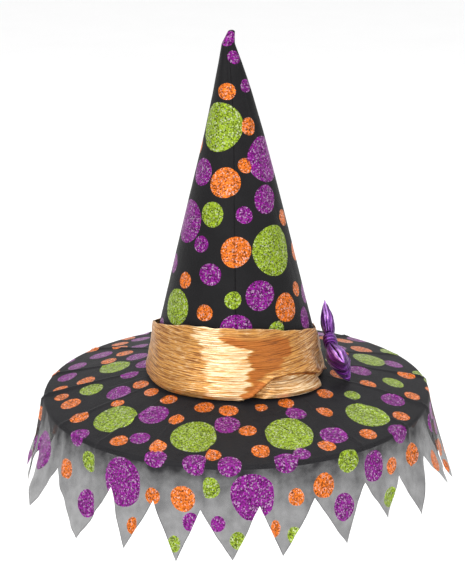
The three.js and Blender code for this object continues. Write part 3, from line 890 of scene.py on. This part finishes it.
class HAT_OT_net(bpy.types.Operator):
    """Makes the dotted net, loose on the brim and hanging past its edge as a zig-zag hem"""

    bl_idname = "hat.net"
    bl_label = "Dotted Net"

    def execute(self, context):
        settings = context.scene.hat_settings
        angles = self.columns(settings.net_columns)
        drop, pull = self.hem(angles)
        brim_rows, hem_rows = 54, 46
        inner = BRIM_INNER + 1
        radii = np.linspace(inner, BRIM_EDGE, brim_rows)
        fold_swing, fold_lift = self.folds(angles)
        points = []
        cloth = []
        ripple = settings.net_ripple / MM
        for r in radii:
            out = (r - inner) / (BRIM_EDGE - inner)
            loose = math.sin(math.pi * min(out * 1.15, 1)) * 0.8 + 0.15
            wander = wave(angles * 5 + r * 0.025, 31) * 0.5 + wave(angles * 11 - r * 0.05, 32) * 0.3
            lift = ripple * loose * (0.55 + 0.5 * wander).clip(0, 2) + fold_lift * out
            if out > 0.97:
                lift *= 0.45
            points.append(self.place(angles, r, brim_top(r) + NET_LIFT + 0.2 + lift, 0))
            slant = r * math.hypot(1, BRIM_SLOPE)
            swing = angles + fold_swing * (0.35 + 0.65 * out) * BRIM_EDGE / r * 0.6
            cloth.append(np.stack([slant * np.sin(swing), -slant * np.cos(swing)], axis=-1))
        edge_slant = BRIM_EDGE * math.hypot(1, BRIM_SLOPE)
        edge_top = brim_top(BRIM_EDGE)
        side = np.sin(angles) ** 4
        flare = 11 + 13 * side + 3 * wave(angles * 6, 41)
        for step in range(1, hem_rows + 1):
            share = step / hem_rows
            hang = share * drop
            bend = np.minimum(hang, 3.0) / 3.0
            depth = hang / 100
            flutter = 4.2 * wave(angles * 13, 42) * depth + 2.2 * wave(angles * 29 + 2 * depth, 43) * depth
            crumple = 2.5 * np.maximum(0, wave(angles * 23, 44) - 0.2) * smooth(2, 30, hang)
            radius = BRIM_EDGE + 1.3 * np.sqrt(bend) + flare * depth ** 1.25
            radius = radius + flutter + crumple + fold_lift * 0.8
            curl = self.curl(angles) * smooth(35, 100, hang)
            radius = np.maximum(radius + curl, BRIM_EDGE + 1.1 * np.sqrt(bend))
            z = edge_top + (NET_LIFT + 0.3) * (1 - bend) - hang * np.sqrt(1 - 0.03 * depth)
            shift = pull * share ** 2
            points.append(self.place(angles, radius, z, shift))
            slant = edge_slant + hang
            swing = angles + fold_swing * 0.6 + shift / BRIM_EDGE
            cloth.append(np.stack([slant * np.sin(swing), -slant * np.cos(swing)], axis=-1))
        rows = len(points)
        cut_edge = np.zeros((rows, len(angles)))
        for row in range(rows):
            step = row - brim_rows + 1
            left = (1 - max(step, 0) / hem_rows) * drop
            cut_edge[row] = left * self.slant_factor(angles, drop)
        cut_edge[:brim_rows] = 50
        points, cloth = np.array(points), np.array(cloth)
        faces = grid_faces(rows, len(angles), wrap_columns=True)
        piece = mesh_piece("net_cloth", points, faces, dotted_net())
        point_up(piece, lambda c: Vector((c.x, c.y, 0.2)))
        mark_dots(piece, cloth, self.dots())
        self.write(piece, "cut_edge", cut_edge)
        self.write(piece, "net_cover_and_shade", self.cover(angles, drop, brim_rows, hem_rows))
        lay_uv(piece, cloth)
        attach(piece, "root")
        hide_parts("net_overlay")
        return {"FINISHED"}

    @staticmethod
    def write(piece, name, values):
        values = values.astype(np.float32).ravel()
        piece.data.attributes.new(name, "FLOAT", "POINT").data.foreach_set("value", values)

    @staticmethod
    def cover(angles, drop, brim_rows, hem_rows):
        """How much the threads hide: more in the net's folds, and more just below the brim's edge, where the
        extra cover is painted shade from the brim.
        """
        rows = []
        streaks = np.maximum(0, wave(angles * 23, 44) - 0.1) + 0.5 * np.maximum(0, wave(angles * 47, 45))
        for step in range(-brim_rows + 1, hem_rows + 1):
            hang = max(step, 0) / hem_rows * drop
            # Painted shade: the net is darkened just below the brim.
            brim_painted_shade = 0.19 * np.exp(-hang / 26) + 0.10 * np.exp(-hang / 60)
            rows.append(0.69 + brim_painted_shade + 0.08 * streaks * (0.4 + 0.6 * np.exp(-hang / 50)))
        return np.clip(np.array(rows), 0.4, 0.97)

    @staticmethod
    def columns(count):
        """Even columns, with the nearest ones moved onto the hem's valleys and tips."""
        start = math.radians(FRONT_HEM[0][0])
        angles = start + np.linspace(0, 2 * np.pi, count, endpoint=False)
        for degrees, _, _ in hem_points():
            target = start + (math.radians(degrees) - start) % (2 * np.pi)
            angles[np.argmin(np.abs(angles - target))] = target
        return angles

    @staticmethod
    def hem(angles):
        rows = hem_points()
        start = math.radians(rows[0][0])
        keys = [start + (math.radians(row[0]) - start) % (2 * np.pi) for row in rows] + [start + 2 * np.pi]
        drops = [row[1] for row in rows] + [rows[0][1]]
        pulls = [row[2] for row in rows] + [rows[0][2]]
        drop = np.interp(angles, keys, drops)
        drop += 0.8 * wave(angles * 60, 22)
        return drop, np.interp(angles, keys, pulls)

    @staticmethod
    def slant_factor(angles, drop):
        """Turns the distance down to the cut into the distance straight to it."""
        slope = np.abs(np.gradient(drop, angles * BRIM_EDGE))
        return 1 / np.sqrt(1 + np.minimum(slope, 4) ** 2)

    @staticmethod
    def curl(angles):
        """Some points curl in or out."""
        total = np.zeros_like(angles)
        curled = ((-67, 9, 7), (44, -10, 5), (58, 9, 6), (71, 10, 6), (-30, 3, 6), (13, 3, 6))
        for degrees, amount, width in curled:
            away = (angles - math.radians(degrees) + np.pi) % (2 * np.pi) - np.pi
            total += amount * np.exp(-((away / math.radians(width)) ** 2))
        return total

    @staticmethod
    def folds(angles):
        """Net taken up by each fold, as a turn of the pattern, and the height of the folded ridge."""
        swing = np.zeros_like(angles)
        lift = np.zeros_like(angles)
        for degrees, taken in NET_FOLDS:
            centre = math.radians(degrees)
            away = (angles - centre + np.pi) % (2 * np.pi) - np.pi
            distance = away * BRIM_EDGE
            swing += taken / BRIM_EDGE * (smooth(-1.0, 1.0, distance) - smooth(-60, 60, distance))
            lift += 0.30 * taken * np.exp(-((distance - 1.5) / 3.0) ** 2)
        return swing, lift

    @staticmethod
    def place(angles, radius, z, shift):
        turn = angles + shift / BRIM_EDGE
        radius = np.broadcast_to(radius, angles.shape)
        z = np.broadcast_to(z, angles.shape)
        return np.stack([radius * np.sin(turn), -radius * np.cos(turn), z], axis=-1)

    @staticmethod
    def dots():
        def flat(degrees, slant):
            turn = math.radians(degrees)
            return slant * math.sin(turn), -slant * math.cos(turn)

        stretch = math.hypot(1, BRIM_SLOPE)
        chosen = [(tone, *flat(angle, r * stretch), radius) for tone, angle, r, radius in BRIM_DOTS]
        edge = BRIM_EDGE * stretch
        chosen += [(tone, *flat(angle, edge + down), radius) for tone, angle, down, radius in HEM_DOTS]
        picker = np.random.default_rng(51)
        places = []
        for _ in range(4200):
            angle = picker.uniform(-180, 180)
            slant = 315 * math.sqrt(picker.uniform(0.1, 1))
            if abs(angle) > 80 and slant > 100:
                places.append(flat(angle, slant))
        return scattered_dots(chosen, places, 4.0, 52)


# ---------------------------------------------------------------------------
# The sash
# ---------------------------------------------------------------------------


class HAT_OT_sash(bpy.types.Operator):
    """Makes the draped, crinkled sash with its folds"""

    bl_idname = "hat.sash"
    bl_label = "Crinkled Sash"

    def execute(self, context):
        settings = context.scene.hat_settings
        columns, rows = 560, 84
        angles = np.linspace(0, 2 * np.pi, columns, endpoint=False)
        share, turn = np.meshgrid(np.linspace(0, 1, rows), angles, indexing="ij")
        signed = (turn + np.pi) % (2 * np.pi) - np.pi
        degrees = np.degrees(signed)
        front = smooth(-95, -40, degrees) * (1 - smooth(56, 68, degrees))
        right = smooth(16, 46, degrees) * (1 - smooth(54, 66, degrees))
        spread = 6.5 * front + 5 * right
        foot_z = brim_top(CONE_FOOT + 5.2 + spread) + NET_LIFT + 3.8
        side_top, tilt, roll = BAND_HIGH[2] - 24.0, 24.0, 4.5
        top = side_top + tilt * np.cos(signed) - roll * np.sin(signed) + 0.9 * wave(turn * 9, 61)
        z = foot_z + share * (top - foot_z)
        stand = 5.2 + 1.2 * share + spread * smooth(0.75, 0, share) + self.shape(degrees, share, z)
        radius = cone_radius(CONE_FOOT, z) + stand
        under = smooth(0.10, 0.0, share)
        radius -= 3.2 * under ** 2
        radius += self.crinkle(signed, z)
        radius = np.maximum(radius, cone_radius(CONE_FOOT, z) + 2.4)
        points = np.stack([radius * np.sin(turn), -radius * np.cos(turn), z], axis=-1)
        dark = tuple(settings.sash_dark) + (1.0,)
        base = tuple(settings.sash_base) + (1.0,)
        # The pale cream colour is the painted highlight, and the brown colour is the painted shade.
        material = crinkled_lame(
            "Copper crinkled cloth", dark, base, (0.80, 0.62, 0.39, 1), (0.36, 0.105, 0.012, 1), 0.0021, 0.40)
        piece = mesh_piece("sash_cloth", points, grid_faces(rows, columns, wrap_columns=True), material)
        point_up(piece, lambda c: Vector((c.x, c.y, 0)))
        lay_uv(piece, np.stack([signed * 98, z], axis=-1))
        paint_light_tone(piece, self.tone(degrees, share, z))
        thicken(piece, 0.7)
        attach(piece, "root")
        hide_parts("hatband")
        return {"FINISHED"}

    @staticmethod
    def fold_height(degrees):
        """The line where the sash's lower edge is folded up in front of the bow."""
        places = (-6, 0, 9, 16, 23, 33, 44, 60, 75, 84)
        return np.interp(degrees, places, (-6, 0, 6, 15, 23, 25, 22, 14, 7, -4))

    @classmethod
    def shape(cls, degrees, share, z):
        """The large folds: the lobe at lower right, the tuck at left and soft swells."""
        below = cls.fold_height(degrees) - z
        front_right = smooth(-3, 5, degrees) * (1 - smooth(80, 88, degrees))
        tuck = -5.4 * smooth(-0.2, 0.6, below) * (1 - smooth(5, 15, below))
        overhang = 2.8 * np.exp(-((below + 2.0) / 2.6) ** 2)
        droop = 2.2 * smooth(8, 22, below)
        lobe = front_right * (tuck + overhang + droop)
        pleat_line = 4 + 11 * smooth(-55, -95, degrees)
        pleat = -2.2 * np.exp(-((z - pleat_line) / 1.2) ** 2) * smooth(-48, -60, degrees)
        gap_left = 2.6 * smooth(0.55, 1.0, share) * np.exp(-(((degrees + 80) / 26) ** 2))
        swell = 1.5 * wave(np.radians(degrees) * 4 + share * 2.2, 62) * np.sin(np.pi * share)
        end_fold = -3.2 * smooth(76, 79, degrees) * (1 - smooth(100, 112, degrees))
        return lobe + pleat + gap_left + swell + end_fold

    @classmethod
    def tone(cls, degrees, share, z):
        """Painted light on the cloth: painted highlight patches, and painted shade patches and lines; the
        borders are ragged.
        """
        ragged = 2.6 * wave(share * 26 + degrees * 0.02, 68) + 1.8 * wave(share * 61, 69)
        here = degrees + ragged
        left = np.interp(share, (0, 0.35, 0.64, 1), (-15.5, -19.5, -23.5, -35))
        right = np.interp(share, (0, 0.35, 0.70, 0.78, 1), (3, 8, 9, -8, -14))
        shade_patch_end = np.interp(share, (0.3, 0.4, 0.6, 0.8, 1), (16, 26, 38, 42, 40))
        # The pale patch is a painted highlight, and the brown patch to its right is painted shade.
        pale = smooth(left - 2, left + 3, here) * (1 - smooth(right - 1.5, right + 2, here))
        shade_patch = smooth(right - 1, right + 2, here) * (1 - smooth(shade_patch_end - 3, shade_patch_end + 2, here))
        shade_patch *= smooth(0.96, 0.80, share)
        tone = 0.43 + 0.40 * pale - 0.25 * shade_patch + 0.05 * wave(degrees * 0.11 + share * 3, 70)
        # A lighter band from 44 to 74 degrees is painted highlight; the far left is darkened towards the
        # bottom as painted shade.
        tone += 0.12 * smooth(44, 50, here) * (1 - smooth(66, 74, here)) * np.sin(np.pi * share)
        tone -= 0.16 * smooth(-50, -82, degrees) * smooth(0.45, 0.1, share)
        # Below the fold line the lobe gets its own painted light, lighter from 12 to 76 degrees.
        below = cls.fold_height(degrees) - z
        lobe = smooth(-3, 5, degrees) * (1 - smooth(80, 88, degrees))
        inside = lobe * smooth(-0.2, 0.8, below)
        lobe_painted_light = 0.48 + 0.22 * smooth(12, 30, degrees) * (1 - smooth(56, 76, degrees))
        tone = tone * (1 - inside) + inside * lobe_painted_light
        # A dark line of painted shade runs along the fold, and the top edge gets a painted highlight.
        tone -= 0.75 * lobe * smooth(-0.6, 0.4, below) * (1 - smooth(1.6, 4.5, below))
        tone += 0.16 * smooth(0.975, 0.995, share)
        return tone.clip(0, 1)

    @staticmethod
    def crinkle(signed, z):
        """Fine lengthwise ridges with a little wander."""
        drift = 0.5 * wave(signed * 5, 63)
        fine = wave(z * 2.3 + drift + 0.8 * wave(signed * 9, 64), 65)
        broad = wave(z * 0.55 + 0.8 * wave(signed * 4, 66), 67)
        return 0.13 * fine + 0.35 * broad


# ---------------------------------------------------------------------------
# The bow
# ---------------------------------------------------------------------------


class HAT_OT_bow(bpy.types.Operator):
    """Makes the two crinkled loops of the bow and its gathered knot"""

    bl_idname = "hat.bow"
    bl_label = "Side Bow"

    def execute(self, context):
        base = tuple(context.scene.hat_settings.bow_base) + (1.0,)
        # The lilac colour is the painted highlight, and the darkest purples are painted shade.
        material = crinkled_lame(
            "Purple crinkled cloth", (0.022, 0.002, 0.040, 1), base, (0.62, 0.30, 0.82, 1),
            (0.060, 0.006, 0.100, 1), 0.0026, 0.30)
        for name, node, side, fat, lift, ribbon in (
            ("bow_lower_loop_cloth", "bow_lower_loop", 1, 12.0, 8.0, (0.081, 0.046)),
            ("bow_upper_loop_cloth", "bow_upper_loop", -1, 7.4, 3.2, (0.075, 0.044)),
        ):
            piece = self.loop(name, side, fat, lift, material)
            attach(piece, "root")
            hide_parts(node)
        knot = self.knot(material)
        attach(knot, "root")
        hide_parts("bow_knot")
        return {"FINISHED"}

    @staticmethod
    def placed(along, across, out):
        """Points from distances along the bow, across it and out of the hat."""
        tilt = math.radians(56)
        line = Vector((0.15, -math.sin(tilt), -math.cos(tilt))).normalized()
        side = Vector((1, 0, TAPER)).cross(line).normalized()
        outward = line.cross(side).normalized()
        centre = (KNOT_LOW + KNOT_HIGH) / 2
        return (centre + along[..., None] * np.array(line) + across[..., None] * np.array(side)
                + out[..., None] * np.array(outward))

    @classmethod
    def loop(cls, name, side, fat, lift, material):
        """A flat tube of ribbon: out along its outer layer, round the end and back inside."""
        length, rows, columns = 35.0, 84, 170
        across, path = np.meshgrid(np.linspace(-1, 1, rows), np.linspace(0, 1, columns), indexing="ij")
        turn = (path - 0.5) * np.pi
        along = np.cos(turn) ** 0.6
        layer = np.sign(np.sin(turn)) * np.abs(np.sin(turn)) ** 0.8
        growth = smooth(-0.1, 0.85, along)
        width = (9 + 10 * growth) * (1 + 0.05 * wave(along * 5, 75))
        puff = fat * (0.35 + 0.65 * np.sin(np.pi * np.clip(along * 0.9, 0, 1)) ** 0.7)
        edge_fade = 0.10 + 0.90 * np.sqrt(np.clip(1 - across ** 2, 0, 1))
        rays = np.abs(wave(across * 8, 71)) ** 0.6 + 0.45 * np.abs(wave(across * 19 + 2 * along, 72))
        deep = 0.9 + 1.5 * np.exp(-along * 3)
        crush = 0.9 * wave(along * 9 + across * 4, 73) * growth
        out = layer * (puff * edge_fade) + (rays * deep - 1.2) * np.where(layer > 0, 1.0, -0.2) + crush * 0.7
        out = out + lift * along + 1.6 * across ** 2 * growth * np.sign(fat - 6)
        ruffle = 2.2 * wave(across * 5, 74) * growth - 3.0 * np.exp(-(((across + 0.1) / 0.14) ** 2)) * growth
        reach = side * (8.4 + (along * length + ruffle * smooth(0.5, 1, along)).clip(0, length + 2.5))
        points = cls.placed(reach, across * width, out)
        piece = mesh_piece(name, points, grid_faces(rows, columns), material)
        middle = cls.placed(np.array(side * 26.0), np.array(0.0), np.array(0.0)) * MM
        point_up(piece, lambda c: c - Vector(middle))
        lay_uv(piece, np.stack([along * 40, across * 24], axis=-1))
        # Painted highlight and painted shade in stripes along the loop, with a painted highlight along the
        # ribbon's edges.
        tone = 0.34 + 0.30 * wave(across * 6 + along * 3, 76) + 0.20 * wave(across * 17, 77)
        paint_light_tone(piece, (tone + 0.25 * (np.abs(across) > 0.93)).clip(0, 1))
        thicken(piece, 0.5, 0.0)
        return piece

    @classmethod
    def knot(cls, material):
        """The strip round the middle, drawn into creases."""
        rows, columns = 48, 110
        half_length, half_width, half_out = 7.8, 12.6, 8.2
        along, turn = np.meshgrid(
            np.linspace(-1, 1, rows), np.linspace(0, 2 * np.pi, columns, endpoint=False), indexing="ij")
        round_off = np.sqrt(np.clip(1 - np.abs(along) ** 4, 0.0004, 1)) * 0.97
        crease = 1 - 0.11 * np.abs(wave(along * 10 + 0.5 * np.sin(turn * 2), 81)) ** 0.6
        width = half_width * np.sin(turn) * round_off * crease
        out = half_out * np.sign(np.cos(turn)) * np.abs(np.cos(turn)) ** 0.8 * round_off * crease
        points = cls.placed(half_length * along, width, out)
        piece = mesh_piece("bow_knot_cloth", points, grid_faces(rows, columns, wrap_columns=True), material)
        middle = Vector((KNOT_LOW + KNOT_HIGH) / 2 * MM)
        point_up(piece, lambda c: c - middle)
        lay_uv(piece, np.stack([12 * np.sin(turn), along * 14], axis=-1))
        # Painted highlight and painted shade that vary along the knot.
        paint_light_tone(piece, (0.36 + 0.3 * wave(along * 9 + np.sin(turn), 82)).clip(0, 1))
        return piece


# ---------------------------------------------------------------------------
# The stage
# ---------------------------------------------------------------------------


class HAT_OT_stage(bpy.types.Operator):
    """Makes the pale floor, the soft lights and the camera"""

    bl_idname = "hat.stage"
    bl_label = "Stage"

    def execute(self, context):
        scene = context.scene
        self.floor()
        self.world(scene)
        self.light("Key light", (-1.5, -1.9, 1.9), (0, 0, 0.1), 1.2, 44)
        self.light("Fill light", (2.0, -1.6, 1.0), (0, 0, 0.05), 1.2, 16)
        self.light("Top light", (0.2, 0.6, 2.4), (0, 0, 0), 1.4, 22)
        self.light("Front glow", (-0.2, -2.6, 0.6), (0, 0, 0.05), 0.5, 16)
        self.camera(scene)
        scene.view_settings.view_transform = "Standard"
        return {"FINISHED"}

    @staticmethod
    def floor():
        corners = [(-9, -9), (9, -9), (9, 9), (-9, 9)]
        points = np.array([[x / MM, y / MM, -420.0] for x, y in corners])
        piece = mesh_piece("studio_floor", points, np.array([[0, 1, 2, 3]]), studio_white())

    @staticmethod
    def world(scene):
        world = bpy.data.worlds.new("Soft white room")
        scene.world = world
        world.use_nodes = True
        background = world.node_tree.nodes["Background"]
        background.inputs["Color"].default_value = (1, 1, 1, 1)
        background.inputs["Strength"].default_value = 1.0

    @staticmethod
    def light(name, place, target, size, power):
        data = bpy.data.lights.new(name, "AREA")
        data.shape = "DISK"
        data.size = size
        data.energy = power
        lamp = bpy.data.objects.new(name, data)
        lamp.location = place
        lamp.rotation_euler = (Vector(target) - Vector(place)).to_track_quat("-Z", "Y").to_euler()
        bpy.context.scene.collection.objects.link(lamp)

    @staticmethod
    def camera(scene):
        """Two metres in front and seventeen degrees up, tipped down a little more to centre the hat."""
        data = bpy.data.cameras.new("Camera")
        data.lens = 121.3
        data.sensor_width = 36
        camera = bpy.data.objects.new("Camera", data)
        elevation = math.radians(17)
        camera.location = (0, -2.1 * math.cos(elevation), 0.150 + 2.1 * math.sin(elevation))
        tip_down = math.radians(90 - 18.575)
        turn = Matrix.Rotation(math.radians(0.085), 4, "Z") @ Matrix.Rotation(tip_down, 4, "X")
        turn = turn @ Matrix.Rotation(math.radians(-0.65), 4, "Z")
        camera.rotation_euler = turn.to_euler()
        scene.collection.objects.link(camera)
        scene.camera = camera


# ---------------------------------------------------------------------------
# Panel and registration
# ---------------------------------------------------------------------------

OPERATORS = (
    HAT_OT_stage, HAT_OT_cone, HAT_OT_brim, HAT_OT_inside, HAT_OT_net, HAT_OT_sash, HAT_OT_bow,
)


class HAT_PT_panel(bpy.types.Panel):
    """Lists the hat's sizes and the steps that make it"""

    bl_idname = "HAT_PT_panel"
    bl_label = "Dotted Witch Hat"
    bl_space_type = "VIEW_3D"
    bl_region_type = "UI"
    bl_category = "Hat"

    def draw(self, context):
        settings = context.scene.hat_settings
        for name in settings.bl_rna.properties.keys():
            if name not in ("rna_type", "name"):
                self.layout.prop(settings, name)
        for operator in OPERATORS:
            self.layout.operator(operator.bl_idname)


CLASSES = (HatSettings, *OPERATORS, HAT_PT_panel)


def register():
    for item in CLASSES:
        bpy.utils.register_class(item)
    bpy.types.Scene.hat_settings = bpy.props.PointerProperty(type=HatSettings)


def unregister():
    del bpy.types.Scene.hat_settings
    for item in reversed(CLASSES):
        bpy.utils.unregister_class(item)


def main():
    register()
    for step in (
        bpy.ops.hat.stage, bpy.ops.hat.cone, bpy.ops.hat.brim, bpy.ops.hat.inside, bpy.ops.hat.net,
        bpy.ops.hat.sash, bpy.ops.hat.bow,
    ):
        if step() != {"FINISHED"}:
            raise RuntimeError(f"{step} did not finish")
    bpy.context.view_layer.update()


if __name__ == "__main__":
    main()
